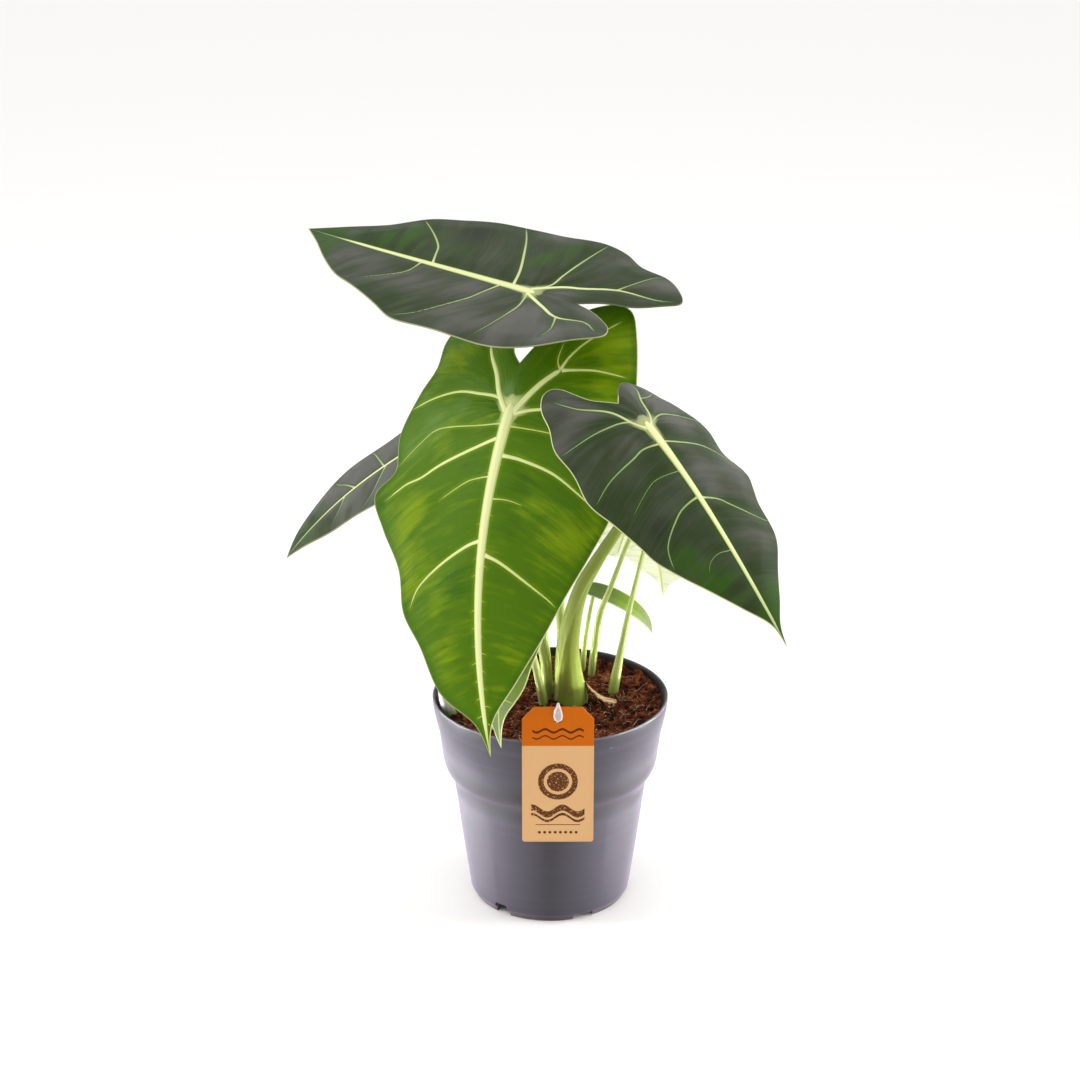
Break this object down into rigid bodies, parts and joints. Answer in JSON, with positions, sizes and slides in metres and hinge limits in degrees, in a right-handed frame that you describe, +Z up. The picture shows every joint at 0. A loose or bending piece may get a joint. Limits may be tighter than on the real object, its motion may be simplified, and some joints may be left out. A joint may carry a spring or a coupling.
{
  "type": "potted alocasia plant",
  "caption": "Alocasia house plant with large heart-shaped, pale-veined leaves on round stalks, in a collared nursery pot of soil with a hanging tag.",
  "frame": {"origin": "centre of the pot's underside, on the surface that it stands on", "axes": "+Z up along the pot's axis; -Y towards the side with the hanging tag; +X to the right seen from that side"},
  "size_m": [0.2405, 0.2698, 0.3342],
  "materials": {
    "pot": "satin",
    "soil": "matte",
    "leaf_dark": "satin",
    "leaf_fresh": "satin",
    "leaf_pale": "satin",
    "stem": "satin",
    "dry_sheath": "matte",
    "tag": "matte",
    "hook": "gloss"
  },
  "bodies": {
    "root": {"pot": "pot", "soil": "soil", "leaf_top": "leaf_dark", "leaf_front": "leaf_fresh", "leaf_right": "leaf_dark", "leaf_left": "leaf_dark", "leaf_low": "leaf_dark", "leaf_young": "leaf_fresh", "leaf_pup_left": "leaf_pale", "leaf_pup_right": "leaf_pale", "petiole_right": "stem", "petiole_front": "stem", "petiole_top": "stem", "petiole_left": "stem", "petiole_low": "stem", "petiole_young": "stem", "petiole_pup_left": "stem", "petiole_pup_right": "stem", "shoot": "stem", "dry_sheath": "dry_sheath", "tag": "tag", "tag_hook": "hook"}
  },
  "joints": []
}
